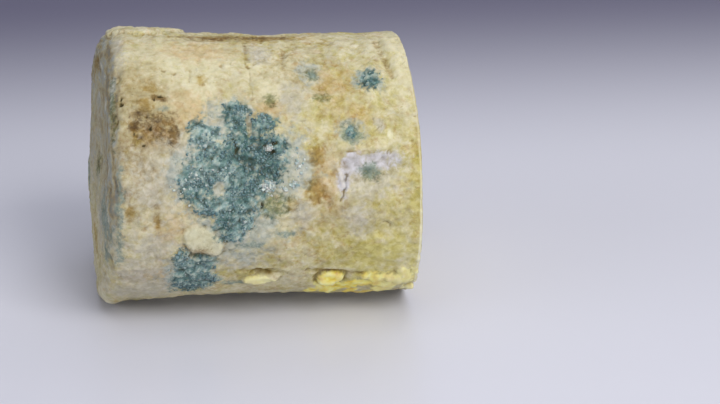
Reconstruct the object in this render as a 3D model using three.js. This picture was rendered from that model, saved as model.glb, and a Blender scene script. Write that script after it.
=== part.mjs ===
// A short log of soft, mould-ripened cheese, lying on its side.
//
// The log is one solid. Its heel, at -X, is a grown end: slightly domed, with a round shoulder.
// Its other end, at +X, is a flat knife cut with a crisp rim. Both ends stand at the same slant,
// as hand-cut pieces do, and the heel also leans back a little. The log is thickest at the heel and
// has a slight waist, it isn't quite round, and its underside has settled flat under its own
// weight, so it rests without rolling.
//
// Millimetres. +X runs along the log from the heel to the cut end, +Y is across it, +Z is up.
// The origin is under the middle of the log, on the surface that it rests on.

import * as THREE from "three";

// Driving dimensions.
const LENGTH = 78; // along the axis, from the heel to the cut face
const HEEL_RADIUS = 35.4; // of the body next to the heel's shoulder
const CUT_RADIUS = 34.1; // of the body at the cut face
const WAIST_DEPTH = 0.7; // how much thinner the middle is than an even taper
const SHOULDER_RADIUS = 5.5; // round between the heel's face and the flank
const CUT_RIM_RADIUS = 0.7; // the cut's edge, worn slightly round
const HEEL_DOME = 1.4; // how far the middle of the heel stands out
const END_SLANT = Math.tan(THREE.MathUtils.degToRad(4)); // the -Y side of each end lies nearer +X
const HEEL_LEAN = Math.tan(THREE.MathUtils.degToRad(3.5)); // the heel's top lies nearer +X
const SETTLED_DEPTH = 1.4; // how much of the round underside is pressed flat

// Slow waves in the radius, as shares of it: the number of lobes round the log, their size,
// their angle, and how far they turn from the heel to the cut.
const WAVES = [
  { lobes: 2, size: 0.007, angle: 0.5, twist: 0.4 },
  { lobes: 3, size: 0.0045, angle: 1.9, twist: -1.1 },
  { lobes: 5, size: 0.0025, angle: 4.0, twist: 1.6 },
];

// How finely the surface is faceted.
const STEPS_ROUND = 80;
const STEPS_ALONG_FLANK = 20;
const STEPS_ON_HEEL = 8;
const STEPS_ON_SHOULDER = 6;
const STEPS_ON_CUT_RIM = 2;
const STEPS_ON_CUT = 5;

// The lathe's half outline: x is the radius at the heel's size, y is the place along the log.
function outline() {
  const points = [];
  const flatRadius = HEEL_RADIUS - SHOULDER_RADIUS;
  for (let i = 0; i < STEPS_ON_HEEL; i++) {
    const share = i / STEPS_ON_HEEL;
    points.push(new THREE.Vector2(share * flatRadius, HEEL_DOME * (share * share - 1)));
  }
  addCorner(points, flatRadius, SHOULDER_RADIUS, SHOULDER_RADIUS, -Math.PI / 2, STEPS_ON_SHOULDER);
  for (let i = 1; i < STEPS_ALONG_FLANK; i++) {
    const share = i / STEPS_ALONG_FLANK;
    const y = THREE.MathUtils.lerp(SHOULDER_RADIUS, LENGTH - CUT_RIM_RADIUS, share);
    points.push(new THREE.Vector2(HEEL_RADIUS, y));
  }
  const rimCentre = HEEL_RADIUS - CUT_RIM_RADIUS;
  addCorner(points, rimCentre, LENGTH - CUT_RIM_RADIUS, CUT_RIM_RADIUS, 0, STEPS_ON_CUT_RIM);
  for (let i = STEPS_ON_CUT - 1; i >= 0; i--) {
    points.push(new THREE.Vector2((i / STEPS_ON_CUT) * rimCentre, LENGTH));
  }
  return points;
}

// A quarter round of the outline, with both of its ends.
function addCorner(points, centreX, centreY, radius, from, steps) {
  for (let i = 0; i <= steps; i++) {
    const turn = from + (i / steps) * (Math.PI / 2);
    points.push(
      new THREE.Vector2(centreX + radius * Math.cos(turn), centreY + radius * Math.sin(turn)),
    );
  }
}

// How much wider than its mean the log is at a turn round it and a share of its length.
function waviness(turn, share) {
  return WAVES.reduce(
    (sum, wave) => sum + wave.size * Math.cos(wave.lobes * turn + wave.angle + wave.twist * share),
    1,
  );
}

// Moves one point of the plain lathe to its place on the real log.
function settle(point) {
  const share = THREE.MathUtils.clamp(point.x / LENGTH, 0, 1);
  const waist = 4 * WAIST_DEPTH * share * (1 - share);
  const bodyRadius = THREE.MathUtils.lerp(HEEL_RADIUS, CUT_RADIUS, share) - waist;
  const size = (bodyRadius / HEEL_RADIUS) * waviness(Math.atan2(point.z, point.y), share);
  point.y *= size;
  point.z *= size;
  point.x += point.z * HEEL_LEAN * (1 - share) - point.y * END_SLANT;
  point.z = Math.max(0, point.z + bodyRadius - SETTLED_DEPTH);
  return point;
}

function cheeseLog() {
  const geometry = new THREE.LatheGeometry(outline(), STEPS_ROUND);
  geometry.rotateZ(-Math.PI / 2); // the lathe's axis, +Y, becomes the log's, +X
  const position = geometry.getAttribute("position");
  const point = new THREE.Vector3();
  for (let i = 0; i < position.count; i++) {
    settle(point.fromBufferAttribute(position, i));
    position.setXYZ(i, point.x, point.y, point.z);
  }
  geometry.computeBoundingBox();
  const middle = geometry.boundingBox.getCenter(new THREE.Vector3());
  geometry.translate(-middle.x, -middle.y, -geometry.boundingBox.min.z);
  geometry.computeVertexNormals();
  const rind = new THREE.MeshStandardMaterial({ color: 0xc8bc8e, roughness: 0.85, metalness: 0 });
  const mesh = new THREE.Mesh(geometry, rind);
  mesh.name = "cheese_log";
  return mesh;
}

const part = new THREE.Group();
part.add(cheeseLog());
export default part;
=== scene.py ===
"""A short log of soft, mould-ripened cheese lying on its side on a plain pale floor.

The rind and the cut are one fine grid of points, made row by row along the log and column by
column round it. Each patch, crease, flake and pit has a place on the log, given by two numbers.
Its way is in millimetres along the surface: on the flank it is the distance from the heel, up to
78 at the cut, and it goes on below 0 over the heel's face and above 78 over the cut's. Its turn
is in degrees round the log: 0 in front, 90 on top, 180 behind. Lengths are millimetres, and turn
into metres when a mesh is made.
"""

import itertools
import math

import bpy
import numpy as np
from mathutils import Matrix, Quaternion, Vector


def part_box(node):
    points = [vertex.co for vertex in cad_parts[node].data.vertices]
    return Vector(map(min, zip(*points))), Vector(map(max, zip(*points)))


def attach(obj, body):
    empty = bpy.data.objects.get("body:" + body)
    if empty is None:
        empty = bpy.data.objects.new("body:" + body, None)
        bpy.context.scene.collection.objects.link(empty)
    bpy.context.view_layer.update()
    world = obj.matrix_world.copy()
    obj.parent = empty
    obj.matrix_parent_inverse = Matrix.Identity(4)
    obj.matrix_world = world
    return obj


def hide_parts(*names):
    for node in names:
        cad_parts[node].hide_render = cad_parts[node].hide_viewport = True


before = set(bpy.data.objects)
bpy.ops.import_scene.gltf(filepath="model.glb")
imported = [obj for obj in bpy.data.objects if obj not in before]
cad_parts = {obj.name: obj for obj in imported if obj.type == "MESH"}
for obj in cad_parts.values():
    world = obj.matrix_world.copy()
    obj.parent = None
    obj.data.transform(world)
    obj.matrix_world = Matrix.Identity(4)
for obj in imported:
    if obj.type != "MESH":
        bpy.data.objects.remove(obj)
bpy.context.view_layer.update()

MM = 0.001
LOW, HIGH = (np.array(corner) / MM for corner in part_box("cheese_log"))
random = np.random.default_rng(71)

# The log's plain shape, as in the CAD part. The waves in its radius are given by their number of
# lobes, their size as a share of the radius, their angle, and their twist along the log.
LENGTH = 78
HEEL_RADIUS = 35.4
CUT_RADIUS = 34.1
WAIST_DEPTH = 0.7
SHOULDER_RADIUS = 5.5
CUT_RIM_RADIUS = 0.7
HEEL_DOME = 1.4
END_SLANT = math.tan(math.radians(4))
HEEL_LEAN = math.tan(math.radians(3.5))
SETTLED_DEPTH = 1.4
WAVES = [(2, 0.007, 0.5, 0.4), (3, 0.0045, 1.9, -1.1), (5, 0.0025, 4.0, 1.6)]

# How fine the grid is, and the share of a face's radius that its innermost row has.
COLUMNS = 520
FLANK_STEP = 0.42
HEEL_ROWS = 89
SHOULDER_ROWS = 21
RIM_ROWS = 5
CUT_ROWS = 109
INNERMOST = 0.012

# How many crumbs of mould stand on the rind, and how many holes the paste has.
MOULD_GRAINS = 2300
WHITE_GRAINS = 170
EYES = 22

# Places that several marks share: each a way and a turn, and for the clumps their half sizes too.
STAR_AT = 67, 58
CHIP_AT = 38.6, -35.5
CHUNK_AT = 56, -37.5
CLUMPS = [(39.4, 28, 0.9, 0.8), (39.1, 12.5, 1.6, 1.2)]


# ------------------------------------------------------------------------------- noise

def cell_numbers(cells, seed):
    """A number from 0 to 1 for each whole-numbered cell, as good as random but always the same."""
    n = (cells[..., 0] * 374761393 + cells[..., 1] * 668265263 + cells[..., 2] * 2147483647
         + seed * 974634777) & 0xFFFFFFFF
    n = ((n ^ (n >> 13)) * 1274126177) & 0xFFFFFFFF
    return ((n ^ (n >> 16)) & 0xFFFFFF) / 0xFFFFFF


def noise(points, size, seed):
    """Smooth lumps of that size, around 0 and mostly between -1 and 1."""
    places = points / size
    cells = np.floor(places).astype(np.int64)
    inside = places - cells
    blend = inside ** 3 * (inside * (inside * 6 - 15) + 10)
    total = np.zeros(points.shape[:-1])
    for corner in itertools.product((0, 1), repeat=3):
        weight = np.ones(points.shape[:-1])
        value = np.zeros(points.shape[:-1])
        for axis in range(3):
            lean = cell_numbers(cells + corner, seed * 3 + axis) * 2 - 1
            value += lean * (inside[..., axis] - corner[axis])
            weight *= blend[..., axis] if corner[axis] else 1 - blend[..., axis]
        total += weight * value
    return total * 1.8  # so that most of it lies between -1 and 1


def crumbs(points, size, seed):
    """For round crumbs of that size: how far each point is from the nearest crumb's middle and
    from the second nearest, in crumb sizes, and a number from 0 to 1 for the nearest crumb."""
    places = points / size
    cells = np.floor(places).astype(np.int64)
    nearest = np.full(points.shape[:-1], 9.0)
    second = nearest.copy()
    which = np.zeros(points.shape[:-1])
    for step in itertools.product((-1, 0, 1), repeat=3):
        cell = cells + step
        away = sum((cell[..., axis] + cell_numbers(cell, seed * 3 + axis) - places[..., axis]) ** 2
                   for axis in range(3))
        closer = away < nearest
        second = np.where(closer, nearest, np.minimum(second, away))
        which = np.where(closer, cell_numbers(cell, seed + 999), which)
        nearest = np.where(closer, away, nearest)
    return np.sqrt(nearest), np.sqrt(second), which


def ramp(value, start, end):
    """0 at start, 1 at end, and smooth between them."""
    share = np.clip((value - start) / (end - start), 0, 1)
    return share * share * (3 - 2 * share)


def highest(*values):
    """The highest of several values at each point."""
    return np.maximum.reduce(values)


# ------------------------------------------------------------------- the log's plain shape

def outline():
    """The grid's rows, from the heel's middle to the cut's: how far along the log they are, and
    their radius."""
    flat = HEEL_RADIUS - SHOULDER_RADIUS
    share = np.linspace(INNERMOST, 1, HEEL_ROWS, endpoint=False)
    heel = HEEL_DOME * (share ** 2 - 1), share * flat
    angle = np.linspace(-math.pi / 2, 0, SHOULDER_ROWS)
    shoulder = SHOULDER_RADIUS * (1 + np.sin(angle)), flat + SHOULDER_RADIUS * np.cos(angle)
    end = LENGTH - CUT_RIM_RADIUS
    along = np.arange(SHOULDER_RADIUS + FLANK_STEP, end - FLANK_STEP / 2, FLANK_STEP)
    flank = along, np.full(len(along), HEEL_RADIUS)
    face = HEEL_RADIUS - CUT_RIM_RADIUS
    angle = np.linspace(0, math.pi / 2, RIM_ROWS)
    rim = end + CUT_RIM_RADIUS * np.sin(angle), face + CUT_RIM_RADIUS * np.cos(angle)
    share = np.linspace(INNERMOST, 1, CUT_ROWS, endpoint=False)[::-1]
    cut = np.full(CUT_ROWS, LENGTH), share * face
    return np.concatenate([heel, shoulder, flank, rim, cut], axis=1)


def settled(along, radius, turn):
    """The plain log's points, before it is laid on the CAD node's box. Turn 0 is at -Y."""
    share = np.clip(along / LENGTH, 0, 1)
    body = HEEL_RADIUS + (CUT_RADIUS - HEEL_RADIUS) * share - 4 * WAIST_DEPTH * share * (1 - share)
    y, z = -radius * np.cos(turn), radius * np.sin(turn)
    lathe_turn = np.arctan2(z, y)
    wave = 1 + sum(size * np.cos(lobes * lathe_turn + angle + twist * share)
                   for lobes, size, angle, twist in WAVES)
    size = body / HEEL_RADIUS * wave
    y, z = y * size, z * size
    x = along + z * HEEL_LEAN * (1 - share) - y * END_SLANT
    return np.stack([x, y, np.maximum(0, z + body - SETTLED_DEPTH)], axis=-1)


def laid_on_box(points):
    """Moves and fits the plain points to the box of the CAD node."""
    start, end = points.min((0, 1)), points.max((0, 1))
    return LOW + (points - start) * (HIGH - LOW) / (end - start)


def outward(points):
    """The direction straight out of the grid at each point, which is taken as straight along the
    log at the tiny rows in the middle of both ends."""
    across = np.roll(points, -1, 1) - np.roll(points, 1, 1)
    out = np.cross(np.gradient(points, axis=0), across)
    out = (np.roll(out, 1, 1) + 2 * out + np.roll(out, -1, 1)) / 4
    out[1:-1] = (out[:-2] + 2 * out[1:-1] + out[2:]) / 4
    out /= np.maximum(np.linalg.norm(out, axis=-1, keepdims=True), 1e-9)
    out[:3], out[-3:] = (-1, 0, 0), (1, 0, 0)
    return out


ALONG_ROW, RADIUS_ROW = outline()
WAY_ROW = np.append(0, np.cumsum(np.hypot(np.diff(ALONG_ROW), np.diff(RADIUS_ROW))))
WAY_ROW += SHOULDER_RADIUS - WAY_ROW[np.argmax(RADIUS_ROW >= HEEL_RADIUS - 1e-9)]
WAY, TURN = np.meshgrid(WAY_ROW, np.linspace(-90, 270, COLUMNS, endpoint=False), indexing="ij")
ALONG, RADIUS = (np.repeat(row[:, None], COLUMNS, axis=1) for row in (ALONG_ROW, RADIUS_ROW))
POINTS = laid_on_box(settled(ALONG, RADIUS, np.radians(TURN)))
OUT = outward(POINTS)
ON_HEEL = 1 - ramp(WAY, 0.5, 3.5)
ON_CUT = ramp(WAY, LENGTH - 0.5, LENGTH + 0.3)
ON_RIND = 1 - ON_CUT

# Noise of four sizes, and the places of the grid pushed about by it, for uneven shapes.
TINY = noise(POINTS, 0.6, 2)
FINE = noise(POINTS, 1.2, 3)
MID = noise(POINTS, 2.8, 4)
WIDE = noise(POINTS, 6.5, 5)
WARPED = POINTS + np.stack([MID, WIDE, FINE], axis=-1) * (1.4, 1.2, 0.8)

# The big crumbs of the torn rind and of the cut.
FROM_BIG_CRUMB, _, BIG_CRUMB = crumbs(WARPED, 4.6, 24)


def heel_streaks():
    """Streaks that run round the heel's shoulder, and plain mottles nearer to its middle."""
    angle = np.radians(TURN)
    drawn_out = np.stack([WAY, RADIUS * np.cos(angle) / 5, RADIUS * np.sin(angle) / 5], axis=-1)
    streaks = noise(drawn_out, 1.5, 6) * ramp(WAY, -12, -4)
    return streaks + 0.45 * noise(POINTS, 3.4, 7) * ramp(WAY, -4, -12)


STREAKS = heel_streaks()


# --------------------------------------------------------------------- shapes of the marks

def apart(way, turn):
    """How far every point is from a place on the log, along it and round it."""
    return WAY - way, np.radians((TURN - turn + 180) % 360 - 180) * np.maximum(RADIUS, 6)


def unevenness(size):
    """Noise that gives a mark of that size its uneven edge."""
    if size > 5:
        return 0.5 * WIDE + 0.5 * MID + 0.35 * FINE + 0.2 * TINY
    if size > 2:
        return 0.3 * WIDE + 0.55 * MID + 0.5 * FINE + 0.3 * TINY
    return 0.4 * MID + 0.6 * FINE + 0.4 * TINY


def patch(way, turn, along, across, ragged=0.4, soft=0.4, tilt=0):
    """1 inside an uneven patch of that half length and half width, 0 outside."""
    x, y = apart(way, turn)
    tilt = math.radians(tilt)
    x, y = x * math.cos(tilt) + y * math.sin(tilt), y * math.cos(tilt) - x * math.sin(tilt)
    reach = np.hypot(x / along, y / across) + ragged * unevenness(math.sqrt(along * across))
    return 1 - ramp(reach, 1 - soft, 1 + soft)


def patches(*places, **how):
    """Several patches in one, each given by its way, turn, half length and half width."""
    return highest(*(patch(*place, **how) for place in places))


def stroke(places, width, ragged=0.5, soft=0.7, bend=0.5):
    """1 on a thin, bent and broken line through those ways and turns, 0 away from it."""
    nearest = np.full(WAY.shape, 99.0)
    for (way, turn), (next_way, next_turn) in zip(places, places[1:]):
        x, y = apart(way, turn)
        x, y = x + bend * MID + 0.3 * FINE, y + bend * WIDE
        dx, dy = next_way - way, math.radians(next_turn - turn) * HEEL_RADIUS
        share = np.clip((x * dx + y * dy) / max(dx * dx + dy * dy, 1e-9), 0, 1)
        nearest = np.minimum(nearest, np.hypot(x - share * dx, y - share * dy))
    return 1 - ramp(nearest / width + ragged * (FINE + 0.5 * MID), 1 - soft, 1 + soft)


def unseen_places(count, least, most):
    """Seeded patches of those sizes behind the log and under it, where the photo shows nothing."""
    places = []
    for _ in range(count):
        size = least * (most / least) ** random.random()
        place = random.uniform(2, 74), random.uniform(122, 262)
        places.append((*place, size, size * random.uniform(0.6, 1.4)))
    return places


# ------------------------------------------------------------------------- mould and stains

def mould_rays(way, turn):
    """Short rays of mould round a place."""
    x, y = apart(way, turn)
    rays = np.cos(np.arctan2(y, x) * 11 + 2 * MID) * 0.5 + 0.5
    return rays * (1 - ramp(np.hypot(x, y), 2.4, 5.6 + 1.6 * MID))


def clumps():
    """Two soft white clumps in the right edge of the big mould patch."""
    return patches(*CLUMPS, ragged=0.25, soft=0.35)


def mould():
    """Blue-green mould: a big lobed patch in front with bare islands in it, a smaller one below
    the flake, a star and a dot near the cut, and patches behind."""
    big = patches((30.5, 18, 10.5, 12), (31.8, 41, 4.4, 4.6), (38.6, 25, 6, 8), (22, 15.5, 5.6, 6.2),
                  (23.8, 34, 4.5, 4.5), (38.3, 38, 4, 3.2), (24, 5, 4, 3.5), (30.2, 0, 5, 7),
                  (31, -8, 3.2, 2.4), ragged=0.4, soft=0.45)
    islands = patches((26.8, 11.5, 1.5, 1.9), (34.8, 38, 0.7, 3), (26, 39.5, 2.6, 1.2), ragged=0.3)
    lower = patches((21.3, -34, 6.2, 7.5), (18.2, -21, 2.6, 4.5), (22.5, -25, 4, 3.5),
                    (23.6, -21.5, 3.4, 1.6), ragged=0.35, soft=0.45)
    star = highest(patch(*STAR_AT, 2.5, 3.2, ragged=0.15), 0.85 * mould_rays(*STAR_AT))
    dot = 0.8 * patch(60.4, 33.8, 1.4, 1.9, ragged=0.3)
    behind = patches((52, 150, 8, 7), (45, 158, 5, 6), (57, 166, 4, 5), (17, 186, 6, 7),
                     (24, 178, 4, 4), (60, 212, 4, 4), *unseen_places(7, 0.7, 2.2),
                     ragged=0.45, soft=0.45)
    big *= (1 - islands) * (1 - clumps())
    return highest(big, lower, star, dot, behind) * ON_RIND


def mould_shade():
    """How light the mould is: lighter at its left, darkest in the right part of the big patch."""
    light = patches((23, 29, 6, 6), (22, -33, 7, 7), (31, -3, 5, 5), soft=0.8)
    return 0.45 + 0.32 * noise(POINTS, 4.5, 63) + 0.12 * light - 0.25 * patch(37, 24, 6, 8, soft=0.8)


def film():
    """The thin grey-green film round the mould."""
    return patches((31, 17, 16, 15), (31, 40, 7, 8), (42, 20, 9, 12), (32, -8, 11, 10),
                   (20.5, -28, 8, 9), (*STAR_AT, 4.5, 4.5), (60.5, 34, 4, 4), (17, 18, 4, 6),
                   (51.4, 65, 3.2, 4.5), (51, 156, 14, 14), (20, 184, 11, 12), (60, 212, 7, 7),
                   ragged=0.5, soft=0.6)


def teal():
    """Flat blue-green stains, and a line of them along the front of the heel's shoulder."""
    front = patches((44.3, -9.5, 3.4, 1), (65, 17.5, 2.6, 2), (52.4, 62.5, 1, 1.4), (13.5, 45, 1.9, 1),
                    (35, -14, 4, 1.2), (60.5, 33, 1.8, 2.2), (32, -39, 4, 1), soft=0.7)
    heel = patches((-3, -26, 3, 4), (-7, -8, 6, 9), (-12, 205, 5, 7), (-17, 214, 3, 3),
                   (-9, 222, 2, 3), (-24, -20, 1.5, 2), ragged=0.8, soft=0.8)
    line = 0.9 * stroke([(2.2, 19), (2.2, -5), (2.5, -24)], 1.2, soft=0.9)
    return highest(front, heel, line, patches(*unseen_places(9, 0.8, 3), soft=0.7))


def green():
    """Olive-green stains."""
    front = patches((40.4, 4.3, 5, 3.9), (54, 50, 2.6, 1.5), (40.9, 49, 1.8, 2.2), (65, 17, 3, 2.5),
                    (52.4, 62.5, 1.6, 2.2), (60.6, 33.4, 2.6, 3), (33.5, 33, 1.2, 4), soft=0.7)
    heel = patches((0, 45, 1.2, 8), (-20, 22, 4, 3), ragged=0.8, soft=0.8)
    return highest(front, heel, patches(*unseen_places(7, 0.8, 3), soft=0.7))


def ochre():
    """Yellow-brown stains: most of them near the heel, a band along the top, and two spots with
    faint edges right of the big mould patch."""
    stains = patches((7.8, 32.5, 3.2, 3.2), (10.5, 54.5, 3.2, 1.5), (9, 47, 3, 2.5), (23.7, 59, 1.6, 2),
                     (4.8, 2, 1.5, 3), (11.5, -1, 1, 3), (38, 93.5, 19, 4.5), (57, -33, 3.6, 1.1),
                     (45, 4, 1.6, 2.6), soft=0.8)
    heel = patches((-15, -80, 5, 8), (-6, 110, 3, 8), ragged=0.8, soft=0.8)
    faint = 0.5 * patches((8, 53, 7, 9), (7, 24, 6, 12), (10, 36, 8, 9), (47, 73, 8, 9), soft=0.8)
    spots = 0.65 * patches((51.6, 24.5, 2, 3.6), (50.8, 9, 2.8, 3.6), ragged=0.7, soft=0.8)
    spots += 0.8 * patches((51.8, 24.5, 1.4, 2.6), (51.3, 9, 2.2, 2.4), ragged=0.5, soft=0.9)
    return highest(stains, heel, faint + spots, patches(*unseen_places(11, 1, 4), soft=0.8))


def peach():
    """Faint orange blushes."""
    return patches((57, 56, 5, 6), (40, 45, 5, 3), (20, 44, 6, 6), (12, 33, 5, 3.5), (54, 14, 5, 9),
                   (14, -4, 5, 5), (24, 78, 9, 5), (12, -30, 6, 4), (62, 40, 5, 4),
                   *unseen_places(9, 2, 6), soft=0.8)


def brown():
    """The brown patch near the heel, the brown in the top band, and a painted shadow along the
    flake's lower edge.
    """
    dark = patches((15.6, 35, 1.5, 3.6), (6, 36.8, 1.3, 1.7), (12.6, 49.6, 2, 1),
                   (22, -16.5, 2.8, 1.5), (7.2, 32.2, 0.9, 0.9), *unseen_places(5, 0.6, 2.2), soft=0.8)
    light = patches((11.5, 35.8, 4.2, 2.8), (11.5, 38.5, 5.5, 3.4), (7.2, 42.5, 2.6, 1.5),
                    (30, 93.5, 9, 2.6), (42, 94.5, 9, 2.4), soft=0.8)
    return highest(dark, 0.7 * light)


def yellow():
    """Yellow areas: faint ones over the part near the cut, and strong ones low on it and behind."""
    faint = patches((64, 44, 12, 18), (70, 5, 12, 26), (50, 38, 5, 9), (48, 22, 4, 6),
                    ragged=0.5, soft=0.8)
    strong = patches((76.5, 5, 2, 26), (57, -38, 5, 3.2), (68, -38, 12, 6), (64, -20, 15, 9),
                     (34, -26, 10, 5), (66, 118, 9, 9), (62, 190, 13, 16), (68, 240, 10, 12),
                     (30, 215, 9, 8), ragged=0.5, soft=0.8)
    return highest(0.6 * faint, strong)


def cream():
    """Creamy areas: high on the front, low near the cut, and behind."""
    return patches((18, 62, 14, 16), (26, 70, 9, 6), (42, 63, 6, 8), (75, 70, 5, 17), (71, -25, 10, 11),
                   (30, 165, 14, 13), (12, 120, 9, 9), (50, 230, 10, 9), ragged=0.5, soft=0.7)


def broad_shade():
    """A broad painted shade: left of the big mould patch, and high and low at its right."""
    left = patch(8, 36, 10, 21, ragged=0.5, soft=0.8)
    right = patches((47, 62, 8, 8), (57, -3, 13, 8), ragged=0.5, soft=0.8)
    return highest(left, 0.55 * right)


def bloom():
    """Patches of grey-white bloom."""
    front = patches((9, -45, 10, 6), (14, -38, 9, 4), (8, -28, 8, 7), (10, -14, 7, 5), (10, 14, 8, 13),
                    (14, 17, 6, 9), (18, 27, 5, 5), (24, 36, 5, 3), (2, 80, 4, 9), (40, 76, 4, 5),
                    (47, 50, 4, 6), (47.5, 22, 2, 6), (47, 0, 3, 5), (32, -24, 10, 4), (64, 12, 8, 5),
                    (62, -4, 4, 6), (68, 36.3, 1.3, 2.4), soft=0.8)
    heel = patches((-26, 160, 8, 9), (-12, -20, 5, 12), (-14, 75, 6, 9), soft=0.8)
    behind = patches((8, 150, 7, 9), (34, 128, 8, 7), (38, 200, 9, 10), (70, 165, 5, 9),
                     (14, 235, 9, 8), (48, 250, 10, 6), soft=0.8)
    return highest(front, heel, behind)


def lilac():
    """Lavender-grey: the clumps, and the hollow near the cut, which has a straight upper edge."""
    edge = 25.9 + 0.8 * MID
    hollow = patches((61, 21, 3.6, 3.2), (67, 21.5, 6.5, 2.4), (58.2, 14, 1.8, 4.5), soft=0.8)
    return highest(clumps(), hollow * ramp(TURN, edge + 0.5, edge - 0.5))


def flake():
    """The smooth flake of rind that has lifted above the lower mould patch."""
    return patch(23.2, -11.8, 5.5, 3.6, ragged=0.12, soft=0.12, tilt=-36)


def pale():
    """The palest parts: a painted highlight along the cut's rim, stronger low on the front, and the
    flake and a fleck near the cut, which are pale themselves.
    """
    rim = (0.42 + 0.2 * ramp(TURN, 40, -10)) * ramp(WAY, 76.7, 77.5) * ON_RIND
    fleck = 0.6 * patch(70.4, 32.5, 1.1, 1.7, ragged=0.6, soft=0.9)
    return highest(rim, 0.6 * flake(), fleck)


def pits():
    """Small pits with painted shade in them: in and round the brown patch near the heel, low on the
    heel's shoulder, in the right part of the big mould patch, and behind."""
    return patches((2.8, 49.5, 0.35, 0.5), (2.8, 46.8, 0.45, 0.8), (6.4, 44.7, 0.35, 0.3),
                   (9.1, 40.8, 0.3, 0.3), (10, 36.1, 0.4, 0.4), (11.4, 49, 0.6, 0.35),
                   (12.9, 51, 0.6, 0.35), (8.2, 29, 0.4, 0.3), (6, 34, 0.3, 0.4), (0.5, -62, 0.3, 0.8),
                   (40.9, 30.2, 0.8, 0.6), (38.5, 28.6, 0.5, 0.6), (40.6, 26.6, 0.6, 0.5),
                   (37.5, 4, 0.3, 1), *unseen_places(10, 0.3, 0.7), ragged=0.9, soft=0.5)


def cracks():
    """The slit in the big mould patch, and the crack that runs down from the lavender hollow."""
    slit = stroke([(30.6, 32), (31.2, 29), (31.4, 26)], 0.4, ragged=0.3, bend=0.1)
    crack = stroke([(58.8, 16), (58.5, 11), (57.4, 5)], 0.36, ragged=0.1, bend=0.15)
    return highest(0.8 * slit, 0.55 * crack)


def creases():
    """Folds in the rind."""
    front = highest(
        0.45 * stroke([(11.3, 3), (11.7, -1), (11.5, -6)], 0.6),
        0.4 * stroke([(21.3, 67), (20.8, 58)], 0.35, bend=0.2),
        0.6 * stroke([(57.5, 25.5), (64, 25.9), (70, 25.3)], 0.22, ragged=0.3),
        0.8 * stroke([(33.5, -29.5), (38, -31.5), (43, -34)], 0.6),
        0.7 * stroke([(36.6, 87), (36.3, 76), (36.3, 68)], 0.6),
        0.5 * stroke([(36.3, 68), (36.2, 45)], 0.3),
        0.5 * stroke([(45.3, 77), (45.6, 62)], 0.8),
        0.75 * stroke([(70.8, 84), (71.4, 73), (72.6, 60)], 1, soft=0.9, bend=0.3),
        0.7 * stroke([(50, -31), (60, -34), (68, -35.5), (78, -33)], 0.8))
    behind = highest(
        0.7 * stroke([(26, 205), (27, 188), (24, 172), (26, 150)], 0.5, bend=1.2),
        0.6 * stroke([(49, 196), (58, 190), (66, 194)], 0.5),
        0.6 * stroke([(12, 168), (14, 152), (11, 132)], 0.5, bend=1.2),
        0.5 * stroke([(44, 142), (46, 128), (44, 112)], 0.5, bend=1.2),
        0.7 * stroke([(38, 232), (48, 236), (60, 233)], 0.7, bend=0.9))
    return highest(front, behind)


# ---------------------------------------------------------------------------- the relief

def rough_rind():
    """The whole rind's relief: slow waves, puffs, low steps of crust, plates, fine lines and the
    heel's streaks."""
    height = 0.42 * noise(POINTS, 17, 41) + 0.30 * WIDE + 0.14 * MID + 0.05 * FINE
    puffs = 0.5 * np.abs(noise(WARPED, 3.4, 34)) + 0.3 * np.abs(noise(WARPED, 1.7, 35))
    height += 0.30 * (puffs + 0.1 * np.abs(TINY) - 0.25)
    crusts = noise(WARPED, 6.5, 36) + 0.35 * noise(WARPED, 3, 37) + 0.12 * FINE
    away_from_top = ramp(np.abs(apart(40, 95)[1]), 3, 6)
    height += 0.16 * (ramp(crusts, -0.28, -0.16) + ramp(crusts, 0.10, 0.22)) * away_from_top
    nearest, second, _ = crumbs(WARPED, 4.2, 21)
    plates = ramp(second - nearest, 0.0, 0.25) - 0.7
    height += 0.16 * plates * ramp(noise(POINTS, 11, 33), -0.4, 0.3)
    lines = 1 - ramp(np.abs(noise(WARPED, 7, 31)), 0, 0.10)
    height -= 0.25 * lines * ramp(noise(POINTS, 9, 32), -0.1, 0.35)
    return height + 0.14 * STREAKS * (1 - ramp(WAY, 1, 7))


def flap():
    """The flap of rind that stands up on top, near the heel."""
    return patch(12, 107, 9.5, 7, soft=0.12) + 0.35 * patch(17, 99, 6, 3, soft=0.15)


def lifted_flake(shape):
    """The flake stands out most along its lower edge, over a small hollow."""
    lift = 0.8 - 0.1 * apart(23.4, -11.5)[1]
    return lift * shape - patch(22.6, -18.6, 3, 1.2, ragged=0.2)


def chip():
    """The pale chip low on the front, and the hollow above it."""
    raised = patch(*CHIP_AT, 4.6, 1.5, ragged=0.1, soft=0.15, tilt=14)
    return 1.1 * raised - 0.6 * patch(40, -31, 4, 1.2)


def lavender_hollow():
    """The hollow near the cut, the puffy rind above it and the lip at its left."""
    hollow = patch(64, 18.5, 8, 4.2, ragged=0.2, soft=0.6) * ramp(TURN, 26.2, 24.4)
    lip = stroke([(56.2, 22), (57.4, 17), (58, 12)], 0.7)
    return 0.35 * patch(64, 28.5, 8, 3, soft=0.6) + 0.6 * lip - 0.9 * hollow


def chunk():
    """The yellow chunk low on the front, near the cut: where it is, and its relief, with the
    groove round it."""
    shape = patch(*CHUNK_AT, 3.4, 2.3, ragged=0.2, soft=0.2)
    around = patch(*CHUNK_AT, 4.4, 3.2, ragged=0.2, soft=0.2)
    return shape, 0.5 * shape - np.clip(around - shape, 0, 1)


def torn_edge():
    """The crumbly torn strip below the chunk: where its crumbs show, and its relief."""
    torn = patches((66, -47, 15, 7.5), (75, -43, 4, 8), ragged=0.25, soft=0.2)
    return torn * ramp(FROM_BIG_CRUMB, 0.75, 0.4), torn * (0.6 + 1.3 * (0.6 - FROM_BIG_CRUMB))


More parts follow.
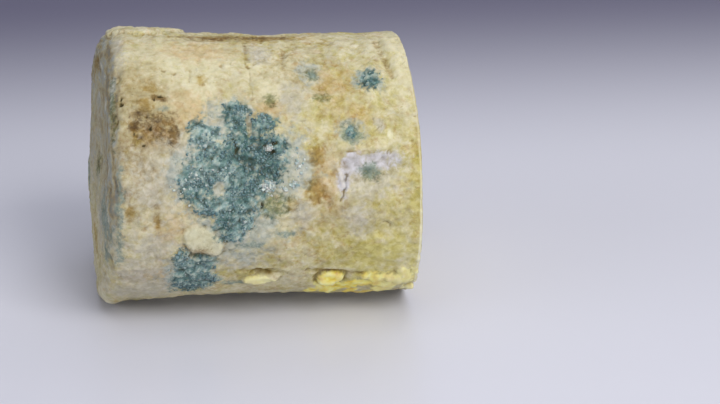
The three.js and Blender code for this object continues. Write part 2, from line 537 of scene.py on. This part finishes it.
def dents_and_bulges():
    """The outline's larger marks: a bulge low on the heel's shoulder, a ridge beside the groove at
    the cut, a hollow under the front, a dent on top of the shoulder, and a nick in the cut's rim."""
    return (1.3 * patch(1.2, -62, 3, 12, ragged=0.1, soft=0.6)
            + 0.7 * stroke([(74, 84), (74.6, 73), (75.4, 60)], 1.4)
            - 1.1 * patch(33, -68, 22, 9, ragged=0.1, soft=0.5)
            - 0.8 * patch(1, 75, 3.5, 16, ragged=0.1, soft=0.6)
            - 1.6 * patch(77, -47, 1.6, 1.8, ragged=0.2))


def blurred(values, times):
    """The values with everything small smoothed away."""
    for _ in range(times):
        values = (np.roll(values, 1, 1) + np.roll(values, -1, 1) + 2 * values) / 4
        values[1:-1] = (values[:-2] + values[2:] + 2 * values[1:-1]) / 4
    return values


# ------------------------------------------------------------------------------- the cut

def eyes():
    """Small crumbly holes in the paste, each of three blobs, within 29 mm of the cut's middle."""
    holes = np.zeros(WAY.shape)
    for _ in range(EYES):
        way = LENGTH + HEEL_RADIUS - 29 * math.sqrt(random.random())
        turn, size = random.uniform(-90, 270), random.lognormal(0.05, 0.5)
        for _ in range(3):
            x, y = apart(way + random.normal(0, 0.6) * size, turn)
            y = y + random.normal(0, 0.8) * size
            reach = np.hypot(x, y) / (size * random.uniform(0.4, 0.9)) + 0.45 * FINE + 0.25 * TINY
            holes = highest(holes, 1 - ramp(reach, 0.5, 1.2))
    return holes


def cut_relief(holes):
    """Smooth paste with faint drag marks of the knife, a few crumbs, and the holes."""
    y, z = POINTS[..., 1], POINTS[..., 2]
    drag = noise(np.stack([y / 9 + z / 25, z - 0.3 * y, 0 * z], axis=-1), 1.1, 54)
    height = 0.16 * noise(POINTS, 9, 51) + 0.07 * noise(POINTS, 2.2, 52) + 0.04 * FINE + 0.05 * drag
    height -= 0.5 * ramp(BIG_CRUMB, 0.9, 0.97) * ramp(FROM_BIG_CRUMB, 0.5, 0.2) * (0.5 + FINE)
    return height - (1.7 + 0.8 * FINE) * holes


# -------------------------------------------------------------------- the finished surface

# Each mask goes into the mesh under its name.
MARKS = {
    "mould": mould(), "film": film(), "teal": teal(), "green": green(), "ochre": ochre(),
    "peach": peach(), "brown": brown(), "yellow": yellow(), "cream": cream(), "broad_shade": broad_shade(),
    "bloom": bloom(), "lilac": lilac(), "flake": flake(), "pale": pale(), "streak": STREAKS * 0.5 + 0.5,
    "mould_shade": mould_shade(), "paste": ON_CUT, "under_rind": ramp(RADIUS, 22, 34) * ON_CUT,
    "skin": ramp(RADIUS + 0.3 * FINE, 33.6, 34.2) * ON_CUT,
}
PITS, CRACKS, CREASES = pits(), cracks(), creases()
MARKS["hole"] = eyes()
# The pits and cracks get painted shade that is almost black.
MARKS["dark"] = highest(PITS, CRACKS)
# The folds get painted shade, broken up by noise.
MARKS["crease_shade"] = CREASES * ramp(FINE, -0.9, 0.1)

# The mould stands on the rind in lumps, which are made of grains.
from_grain, _, MARKS["grain"] = crumbs(POINTS, 0.95, 23)
from_lump = crumbs(WARPED, 2.1, 25)[0]
# The gaps between the lumps get painted shade.
MARKS["gap_shade"] = ramp(from_lump, 0.5, 0.85)
mould_lumps = MARKS["mould"] * (1.105 - 0.30 * from_grain - 1.05 * from_lump)

# Where the rind is off, the raw paste shows, and it is paler at the chip and near the cut.
CHUNK, chunk_relief = chunk()
TORN, torn_relief = torn_edge()
CHIP = patch(*CHIP_AT, 4.4, 1.3, ragged=0.2, soft=0.3)
MARKS["raw"] = highest(CHUNK, CHIP, TORN, 0.8 * patch(70, -36, 8, 1.5, soft=0.6)) * ON_RIND
MARKS["fresh"] = highest(ramp(WAY, 62, 73), ramp(WAY, 48, 45))

rind_height = (rough_rind() + mould_lumps + 0.9 * clumps() + flap() + lifted_flake(MARKS["flake"])
               + chip() + lavender_hollow() + chunk_relief + torn_relief + dents_and_bulges()
               - 0.55 * CREASES - 0.9 * CRACKS - 0.8 * PITS)
HEIGHT = rind_height * ON_RIND + cut_relief(MARKS["hole"]) * ON_CUT
SURFACE = POINTS + OUT * HEIGHT[..., None]
SURFACE[..., 2] = np.maximum(SURFACE[..., 2], LOW[2])

# The heel is darkest at its top, and calmer towards its middle.
MARKS["heel"] = ON_HEEL * (0.25 + 0.75 * ramp(SURFACE[..., 2], 8, 42)) * (1 - 0.3 * ramp(WAY, -5, -14))

# The small dents and bumps, which are painted a little darker and lighter than the rest: painted
# shade in the dents and a painted highlight on the bumps.
DETAIL = HEIGHT - blurred(HEIGHT, times=14)
MARKS["hollow"] = ramp(-DETAIL, 0.04, 0.5)
MARKS["ridge"] = ramp(DETAIL, 0.02, 0.4)


# --------------------------------------------------------------------------------- meshes

FIRST_ON_FLANK = HEEL_ROWS
LAST_ON_FLANK = np.argmin(np.abs(WAY_ROW - LENGTH))

# The flat colour map, in mm: its size, its margin and the gap between the flank's halves, how far
# across it the middles of the heel and the cut lie, and how far both lie above the flank.
MAP_SIZE = 190
MAP_MARGIN = 1.5
MAP_GAP = 3
HEEL_ACROSS = 36
CUT_ACROSS = 110
ENDS_ABOVE = 38


def flat_places(rows, columns):
    """Where face corners in those rows and columns lie on the flat colour map: the front and the
    back of the flank side by side, unrolled, and the heel and the cut as discs above them."""
    angle = columns * math.tau / COLUMNS
    half = math.pi * HEEL_RADIUS
    width = WAY_ROW[LAST_ON_FLANK] - WAY_ROW[FIRST_ON_FLANK] + MAP_GAP
    behind = columns.mean(-1, keepdims=True) > COLUMNS / 2
    on_heel = rows.max(-1, keepdims=True) <= FIRST_ON_FLANK
    on_disc = on_heel | (rows.min(-1, keepdims=True) >= LAST_ON_FLANK)
    disc_across = np.where(on_heel, HEEL_ACROSS, CUT_ACROSS) + RADIUS_ROW[rows] * np.cos(angle)
    disc_up = half + ENDS_ABOVE + RADIUS_ROW[rows] * np.sin(angle)
    across = np.where(on_disc, disc_across, WAY_ROW[rows] - WAY_ROW[FIRST_ON_FLANK] + width * behind)
    up = np.where(on_disc, disc_up, angle * HEEL_RADIUS - half * behind)
    return (np.stack([across, up], -1) + MAP_MARGIN) / MAP_SIZE


def grid_map(rows, columns):
    """The places on the flat map of all face corners of a grid mesh."""
    row, column = (index.ravel() for index in np.indices((rows - 1, columns)))
    quads = flat_places(np.stack([row, row + 1, row + 1, row], -1),
                        np.stack([column, column, column + 1, column + 1], -1))
    column = np.arange(columns)
    heel_fan = flat_places(np.zeros((columns, 3), int), np.stack([column + 1, column, column], -1))
    cut_fan = flat_places(np.full((columns, 3), rows - 1), np.stack([column, column, column + 1], -1))
    for fan in (heel_fan, cut_fan):
        fan[:, 1] = fan.mean((0, 1))
    return np.concatenate([corners.reshape(-1, 2) for corners in (quads, heel_fan, cut_fan)])


def made_mesh(name, points, faces, masks, corner_places):
    """A smooth mesh with its masks and its flat colour map."""
    mesh = bpy.data.meshes.new(name)
    mesh.from_pydata((points * MM).tolist(), [], faces)
    for mask, values in masks.items():
        layer = mesh.attributes.new(mask, "FLOAT", "POINT")
        layer.data.foreach_set("value", values.astype(np.float32))
    mesh.uv_layers.new(name="OFBake").data.foreach_set("uv", corner_places.ravel().astype(np.float32))
    mesh.polygons.foreach_set("use_smooth", np.ones(len(mesh.polygons), bool))
    return mesh


def grid_mesh(name, points, masks):
    """A closed mesh from a grid of rows round the log, with a point in the middle of both ends."""
    rows, columns = points.shape[:2]
    this = np.arange(rows * columns).reshape(rows, columns)
    after = np.roll(this, -1, 1)
    quads = np.stack([this[:-1], this[1:], after[1:], after[:-1]], -1).reshape(-1, 4)
    heel_fan = np.stack([after[0], np.full(columns, this.size), this[0]], -1)
    cut_fan = np.stack([this[-1], np.full(columns, this.size + 1), after[-1]], -1)
    faces = quads.tolist() + heel_fan.tolist() + cut_fan.tolist()
    points = np.concatenate([points.reshape(-1, 3), [points[0].mean(0), points[-1].mean(0)]])
    masks = {mask: np.append(values, [values[0].mean(), values[-1].mean()])
             for mask, values in masks.items()}
    return made_mesh(name, points, faces, masks, grid_map(rows, columns))


def piece(name, mesh, material):
    """Adds a mesh to the scene as a piece of the log."""
    mesh.materials.append(material)
    made = bpy.data.objects.new(name, mesh)
    bpy.context.scene.collection.objects.link(made)
    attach(made, "root")
    return made


# ---------------------------------------------------------------------- ways to shade

def colour(red, green, blue):
    """A screen colour from 0 to 255 as the shader's own."""
    return tuple(((level / 255 + 0.055) / 1.055) ** 2.4 for level in (red, green, blue)) + (1,)


class Shader:
    """One material, and short ways to add nodes to it."""

    def __init__(self, name):
        self.material = bpy.data.materials.new(name)
        self.material.use_nodes = True
        self.tree = self.material.node_tree
        where = self.add("ShaderNodeTexCoord").outputs["Object"]
        in_mm = self.add("ShaderNodeVectorMath", {0: where, "Scale": 1 / MM}, operation="SCALE")
        self.place = in_mm.outputs[0]

    def add(self, kind, inputs=None, **settings):
        """Adds a node with those settings, and feeds its inputs."""
        node = self.tree.nodes.new(kind)
        for key, value in settings.items():
            setattr(node, key, value)
        for key, value in (inputs or {}).items():
            self.feed(node.inputs[key], value)
        return node

    def feed(self, socket, value):
        """Links another node's output to a socket, or sets the socket's own value."""
        if isinstance(value, bpy.types.NodeSocket):
            self.tree.links.new(value, socket)
        else:
            socket.default_value = value

    def noise(self, size, detail=3, roughness=0.6, distortion=0.0, stretch=(1, 1, 1), turn=(0, 0, 0)):
        """Noise from 0 to 1, with lumps of that size in millimetres."""
        place = self.place
        if stretch != (1, 1, 1):
            stretched = {"Vector": place, "Scale": stretch, "Rotation": turn}
            place = self.add("ShaderNodeMapping", stretched).outputs[0]
        settings = {"Vector": place, "Scale": 1 / size, "Detail": detail, "Roughness": roughness,
                    "Distortion": distortion}
        return self.add("ShaderNodeTexNoise", settings).outputs["Fac"]

    def mask(self, name):
        """One of the mesh's masks."""
        return self.add("ShaderNodeAttribute", attribute_name=name).outputs["Fac"]

    def sum(self, *parts):
        """Adds up (value, weight) pairs."""
        total = 0.0
        for value, weight in parts:
            terms = {0: value, 1: weight, 2: total}
            total = self.add("ShaderNodeMath", terms, operation="MULTIPLY_ADD").outputs[0]
        return total

    def step(self, value, start, end, top=1.0):
        """0 at start, top at end, and smooth between them."""
        settings = {"Value": value, "From Min": start, "From Max": end, "To Min": 0.0, "To Max": top}
        return self.add("ShaderNodeMapRange", settings, interpolation_type="SMOOTHSTEP").outputs[0]

    def tones(self, value, *stops):
        """A colour ramp: stops are (place, screen colour)."""
        node = self.add("ShaderNodeValToRGB", {0: value})
        elements = node.color_ramp.elements
        while len(elements) < len(stops):
            elements.new(0.5)
        for element, (place, tone) in zip(elements, stops):
            element.position, element.color = place, colour(*tone)
        return node.outputs[0]

    def mix(self, share, under, over, blend="MIX"):
        """Lays a share of one colour over another."""
        inputs = {0: share, 6: under, 7: over}
        return self.add("ShaderNodeMix", inputs, data_type="RGBA", blend_type=blend).outputs[2]

    def layer(self, under, mask, over, size, broken, start, end, top, blend="MIX"):
        """Lays one colour over another where a mask is high, with an edge broken up by noise of
        that size."""
        breaks = self.noise(size, 3, 0.6, 0.5)
        edge = self.sum((mask, 1.0), (breaks, broken), (1.0, -broken / 2))
        return self.mix(self.step(edge, start, end, top), under, over, blend)

    def finished(self, settings):
        """Sets the surface's sockets, and gives the material."""
        surface = self.tree.nodes["Principled BSDF"]
        for socket, value in settings.items():
            self.feed(surface.inputs[socket], value)
        return self.material


# ------------------------------------------------------------------------- the rind's colour

# Mottles all over the rind: their size, their colour, where in the noise they start and are
# full, their strength, and how they blend with what is under them.
MOTTLES = [
    (3.4, (228, 200, 182), 0.45, 0.78, 0.70, "MULTIPLY"),
    (4.2, (232, 228, 168), 0.44, 0.72, 0.70, "MULTIPLY"),
    (3.0, (182, 184, 172), 0.50, 0.80, 0.55, "MIX"),
    (2.4, (158, 154, 116), 0.56, 0.84, 0.45, "MIX"),
]

# Stains, and some painted shade and highlights among them: their mask, their darker and lighter
# colour, the size of the breaks in their edge and how broken it is, where on the mask they start
# and are full, their strength, and their blend.
SOFT_STAINS = [
    ("cream", (200, 194, 156), (214, 208, 178), 2.5, 1.2, 0.20, 0.9, 0.70, "MIX"),
    ("yellow", (230, 222, 140), (248, 246, 192), 2.4, 2.0, 0.05, 1.2, 0.90, "MULTIPLY"),
    ("peach", (232, 208, 180), (240, 216, 192), 2.2, 2.2, 0.00, 1.5, 0.85, "MULTIPLY"),
]
GREY_STAINS_AND_LIGHT = [
    # Broad painted shade.
    ("broad_shade", (210, 202, 186), (218, 210, 194), 2.6, 0.9, 0.10, 1.1, 0.85, "MULTIPLY"),
    ("bloom", (166, 161, 144), (194, 190, 176), 1.8, 1.6, 0.20, 1.2, 0.80, "MIX"),
    ("film", (140, 150, 144), (182, 186, 176), 1.8, 1.8, 0.30, 1.1, 0.80, "MIX"),
    ("lilac", (172, 170, 174), (202, 201, 208), 1.6, 1.5, 0.20, 0.9, 0.90, "MIX"),
    # Pale colour of the flake and the fleck, and a painted highlight along the cut's rim.
    ("pale", (206, 202, 166), (222, 219, 190), 1.2, 0.3, 0.30, 0.6, 0.90, "MIX"),
    ("flake", (182, 177, 146), (198, 195, 166), 1.2, 0.0, 0.00, 1.0, 0.80, "MIX"),
]
DARK_STAINS_AND_SHADE = [
    ("ochre", (200, 174, 112), (226, 208, 158), 1.2, 1.7, 0.15, 1.2, 0.90, "MULTIPLY"),
    # Brown stains, and a painted shadow along the flake's lower edge.
    ("brown", (126, 102, 64), (182, 158, 118), 0.9, 1.6, 0.10, 1.0, 0.95, "MULTIPLY"),
    ("green", (118, 136, 104), (176, 190, 156), 0.9, 2.0, 0.20, 1.2, 0.85, "MULTIPLY"),
    ("teal", (84, 108, 102), (138, 152, 142), 0.8, 1.9, 0.30, 1.2, 0.85, "MIX"),
    # Painted shade in the folds of the rind.
    ("crease_shade", (186, 160, 108), (186, 160, 108), 0.7, 0.8, 0.20, 1.0, 0.75, "MULTIPLY"),
]


def overlaid(s, tone, small, stains):
    """The tone with those stains, and the painted shade and highlights among them, over it."""
    for mask, dark, light, size, broken, start, end, top, blend in stains:
        over = s.tones(small, (0.35, dark), (0.65, light))
        tone = s.layer(tone, s.mask(mask), over, size, broken, start, end, top, blend)
    return tone


def plain_rind(s, wide, small, crinkles):
    """Cream to straw, with mottles."""
    tone = s.tones(s.sum((wide, 0.50), (small, 0.30), (crinkles, 0.20)),
                   (0.34, (173, 164, 128)), (0.45, (187, 180, 145)),
                   (0.53, (199, 192, 160)), (0.66, (212, 208, 184)))
    for size, over, start, end, top, blend in MOTTLES:
        mottle = s.noise(size, 4, 0.65, 1.0)
        tone = s.layer(tone, mottle, colour(*over), 1.2, 0.5, start, end, top, blend)
    return tone


def heel_tone(s, wide, small):
    """Grey, brown and straw, in the heel's streaks."""
    return s.tones(s.sum((wide, 0.35), (s.mask("streak"), 0.4), (small, 0.35)),
                   (0.36, (110, 114, 112)), (0.46, (134, 120, 90)), (0.54, (160, 152, 124)),
                   (0.62, (142, 146, 142)), (0.74, (186, 183, 165)))


def mould_tone(s, small):
    """Dark to pale blue-green, with painted shade between the lumps."""
    value = s.sum((s.noise(0.7, 4, 0.65), 0.40), (s.mask("mould_shade"), 0.45), (small, 0.25),
                  (s.mask("grain"), 0.16))
    blues = s.tones(value, (0.40, (34, 60, 58)), (0.52, (62, 98, 95)),
                    (0.63, (104, 136, 133)), (0.80, (166, 186, 182)))
    return s.mix(s.sum((s.mask("gap_shade"), 0.75)), blues, colour(40, 68, 68))


def raw_tone(s, small):
    """Deep to pale yellow where the rind is off."""
    deep = s.tones(s.sum((s.noise(3.0, 2), 0.7), (small, 0.3)), (0.38, (208, 172, 66)),
                   (0.48, (228, 208, 88)), (0.58, (230, 222, 130)), (0.68, (236, 232, 170)))
    return s.mix(s.sum((s.mask("fresh"), 0.65)), deep, colour(226, 224, 172))


def paste_tone(s, wide, small, fine):
    """The cut: ivory, yellower near the rind, with a thin darker skin and deep yellow holes."""
    tone = s.tones(s.sum((wide, 0.5), (small, 0.3), (fine, 0.2)),
                   (0.38, (212, 198, 158)), (0.50, (224, 215, 168)), (0.62, (232, 226, 188)))
    tone = s.mix(s.sum((s.mask("under_rind"), 0.8)), tone, colour(240, 232, 172), "MULTIPLY")
    tone = s.layer(tone, s.noise(5.0, 3, 0.6, 1.0), colour(214, 196, 176), 1.5, 0.6, 0.50, 0.85, 0.6)
    tone = s.mix(s.step(s.mask("hole"), 0.1, 0.9), tone, colour(214, 182, 76))
    return s.mix(s.mask("skin"), tone, colour(188, 176, 134))


def log_material():
    """The rind, the mould and the cut, in one material."""
    s = Shader("rind")
    fine = s.noise(0.5, 4, 0.65)
    small = s.noise(1.6, 3, 0.55, 0.6)
    wide = s.noise(5.5, 4, 0.6, 0.6)
    crinkles = s.noise(1.6, 4, 0.6, 1.4, stretch=(0.75, 1.1, 1.1), turn=(0.0, 0.45, 0.0))

    tone = plain_rind(s, wide, small, crinkles)
    tone = overlaid(s, tone, small, SOFT_STAINS)
    tone = overlaid(s, tone, small, GREY_STAINS_AND_LIGHT)
    tone = s.layer(tone, s.mask("heel"), heel_tone(s, wide, small), 1.5, 0.9, 0.1, 1.0, 0.9)
    tone = overlaid(s, tone, small, DARK_STAINS_AND_SHADE)
    tone = s.layer(tone, s.mask("mould"), mould_tone(s, small), 1.1, 1.9, 0.2, 1.0, 0.95)
    tone = s.layer(tone, s.mask("raw"), raw_tone(s, small), 0.9, 0.8, 0.3, 0.8, 0.9)
    paste = paste_tone(s, wide, small, fine)
    tone = s.layer(tone, s.mask("paste"), paste, 0.8, 0.3, 0.35, 0.65, 1.0)

    # Painted shade in the small dents, and a painted highlight on the bumps.
    tone = s.mix(s.step(s.mask("hollow"), 0.0, 1.0, 0.7), tone, colour(176, 158, 118), "MULTIPLY")
    tone = s.mix(s.step(s.mask("ridge"), 0.0, 1.0, 0.25), tone, colour(224, 218, 194))
    # Painted shade, almost black, in the pits and cracks.
    tone = s.mix(s.step(s.mask("dark"), 0.2, 0.9, 0.85), tone, colour(62, 56, 32))

    relief = s.sum((fine, 0.3), (small, 0.7), (crinkles, 0.5), (s.noise(0.22), 0.08))
    bump = s.add("ShaderNodeBump", {"Height": relief, "Strength": 0.5, "Distance": 0.3 * MM})
    return s.finished({
        "Base Color": tone, "Roughness": s.step(small, 0.0, 0.7), "Normal": bump.outputs[0],
        "Specular IOR Level": 0.25, "Subsurface Weight": 0.12, "Subsurface Scale": 1.5 * MM,
        "Subsurface Radius": (1.0, 0.7, 0.35),
    })


def grain_material():
    """Dark blue-green to almost white, by each grain's own tone."""
    s = Shader("grains")
    tone = s.tones(s.sum((s.mask("tone"), 0.8), (s.noise(0.2), 0.3)),
                   (0.1, (48, 78, 82)), (0.45, (88, 118, 122)), (0.75, (136, 158, 158)),
                   (0.95, (198, 206, 200)))
    return s.finished({"Base Color": tone, "Roughness": 0.8, "Subsurface Weight": 0.1,
                       "Subsurface Scale": 0.5 * MM})


# ---------------------------------------------------------------------- crumbs of mould

def ball():
    """A small round shape: its points, its faces, and its points' places on a square map."""
    bpy.ops.mesh.primitive_ico_sphere_add(subdivisions=2, radius=1)
    made = bpy.context.object
    points = np.array([vertex.co for vertex in made.data.vertices])
    faces = np.array([polygon.vertices[:] for polygon in made.data.polygons])
    bpy.data.objects.remove(made)
    down = np.arccos(np.clip(points[:, 2], -1, 1)) / math.pi * 0.45
    angle = np.arctan2(points[:, 1], points[:, 0])
    return points, faces, 0.5 + down[:, None] * np.stack([np.cos(angle), np.sin(angle)], -1)


BALL_POINTS, BALL_FACES, BALL_MAP = ball()


def grain_points(row, column, size):
    """The points of one flat, lumpy, turned grain that sits on the surface."""
    out = OUT[row, column]
    lumps = random.uniform(0.55, 1.25, (len(BALL_POINTS), 1))
    shape = BALL_POINTS * lumps * (1, random.uniform(0.6, 1), 0.75)
    turned = Vector(out).to_track_quat("Z", "X") @ Quaternion((0, 0, 1), random.uniform(0, math.tau))
    points = SURFACE[row, column] + size * (0.25 * out + shape @ np.array(turned.to_matrix()).T)
    points[:, 2] = np.maximum(points[:, 2], LOW[2])
    return points


def grains(name, places, sizes, tones, material):
    """Many grains as one piece."""
    count, across = len(places), math.ceil(math.sqrt(len(places)))
    points = np.concatenate([grain_points(*place, size) for place, size in zip(places, sizes)])
    faces = np.concatenate([BALL_FACES + len(BALL_POINTS) * number for number in range(count)])
    maps = np.concatenate([(BALL_MAP + divmod(number, across)) / across for number in range(count)])
    masks = {"tone": np.repeat(tones, len(BALL_POINTS))}
    return piece(name, made_mesh(name, points, faces.tolist(), masks, maps[faces.ravel()]), material)


def scattered(density, count):
    """Places picked at random, more of them where the density is higher."""
    weight = (density * RADIUS).ravel()
    chosen = random.choice(weight.size, count, replace=False, p=weight / weight.sum())
    return np.stack(np.unravel_index(chosen, density.shape), -1)


def mould_grains(material):
    """Blue-green grains, crowded in clusters on the mould."""
    crowd = ramp(noise(POINTS, 5, 61) + 0.6 * noise(POINTS, 2.2, 62), -0.15, 0.75)
    places = scattered(np.clip(MARKS["mould"] - 0.45, 0, 1) * ON_RIND * (0.2 + crowd), MOULD_GRAINS)
    sizes = random.lognormal(-1.48, 0.40, len(places)).clip(0.09, 0.55)
    tones = random.beta(1.8, 2.2, len(places)) * 0.7 + MARKS["mould_shade"][tuple(places.T)] * 0.4
    return grains("mould_grains", places, sizes, tones, material)


def white_grains(material):
    """White grains: three clumps and a loose line at the right of the big mould patch, and a few
    at its left."""
    line = stroke([(46, 27), (46.5, 18), (44.5, 12), (40, 10)], 1, soft=0.9)
    loose = highest(line, 0.5 * patch(20, 13, 3.5, 4, soft=0.8))
    crowded = patches(*CLUMPS, (46, 13, 0.7, 0.7), ragged=0.3)
    places = scattered(0.25 * loose + 4 * crowded, WHITE_GRAINS)
    sizes = random.lognormal(-1.45, 0.5, len(places)).clip(0.1, 0.5)
    return grains("white_grains", places, sizes, random.uniform(0.75, 1.1, len(places)), material)


# ------------------------------------------------------------- floor, lights and camera

# In millimetres behind the log's middle, where the floor starts and ends to fall into shade.
SHADE_START = 70.0
SHADE_END = 260.0

# In metres: how far the lamps and the camera stand from what they look at, and how far right of
# the log's middle and below it the camera looks.
LAMP_DISTANCE = 1.2
CAMERA_DISTANCE = 0.652
AIM_RIGHT = 0.0290
AIM_DOWN = 0.0112


def floor():
    """A plain pale floor that falls into shade behind the log."""
    s = Shader("floor")
    depth = s.add("ShaderNodeSeparateXYZ", {0: s.place}).outputs[1]
    tone = s.mix(s.step(depth, SHADE_START, SHADE_END), colour(210, 211, 222), colour(102, 100, 124))
    bpy.ops.mesh.primitive_plane_add(size=6, location=(0, 0, LOW[2] * MM))
    made = bpy.context.object
    made.name = "floor"
    paint = s.finished({"Base Color": tone, "Roughness": 0.3, "Specular IOR Level": 0.4})
    made.data.materials.append(paint)


def backward(turn, tilt):
    """The direction from the log to a lamp or camera. Turn 0 is in front of it, 90 on its right."""
    turn, tilt = math.radians(turn), math.radians(tilt)
    return Vector((math.sin(turn) * math.cos(tilt), -math.cos(turn) * math.cos(tilt), math.sin(tilt)))


def facing(name, data, aim, back, distance):
    """Adds a lamp or camera that looks at a point from that direction and distance."""
    made = bpy.data.objects.new(name, data)
    made.location = aim + back * distance
    made.rotation_euler = back.to_track_quat("Z", "Y").to_euler()
    bpy.context.scene.collection.objects.link(made)
    return made


def lamp(name, turn, tilt, size, power, tone):
    """A soft square lamp that looks at the floor under the log."""
    light = bpy.data.lights.new(name, "AREA")
    light.size, light.energy, light.color = size, power, tone
    facing(name, light, Vector((0, 0, 0)), backward(turn, tilt), LAMP_DISTANCE)


def camera():
    """Looks down at the log through a long lens, with the log left of the picture's middle."""
    back = backward(-5.8, 22)
    right = Vector((0, 0, 1)).cross(back).normalized()
    aim = Vector((LOW + HIGH) / 2) * MM + right * AIM_RIGHT - back.cross(right) * AIM_DOWN
    lens = bpy.data.cameras.new("camera")
    lens.lens, lens.sensor_width = 125, 36
    bpy.context.scene.camera = facing("camera", lens, aim, back, CAMERA_DISTANCE)


def surroundings():
    """Even, faintly blue light from all sides."""
    world = bpy.data.worlds.new("studio")
    world.use_nodes = True
    background = world.node_tree.nodes["Background"]
    background.inputs["Color"].default_value = (0.62, 0.62, 0.72, 1)
    background.inputs["Strength"].default_value = 0.3
    bpy.context.scene.world = world
    bpy.context.scene.view_settings.view_transform = "Standard"


# ------------------------------------------------------------------------- the whole scene

log = piece("log", grid_mesh("log", SURFACE, MARKS), log_material())
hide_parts("cheese_log")
grain_paint = grain_material()
mould_grains(grain_paint)
white_grains(grain_paint)

floor()
lamp("key", 32, 44, 0.6, 8.1, (1.0, 0.98, 0.94))
lamp("top", 10, 78, 0.9, 3.7, (0.96, 0.97, 1.0))
lamp("low", 22, 12, 0.4, 3.4, (1.0, 0.98, 0.95))
lamp("side", -70, 20, 0.9, 3.6, (0.94, 0.96, 1.0))
lamp("back", 160, 50, 0.9, 3.0, (0.96, 0.97, 1.0))
camera()
surroundings()
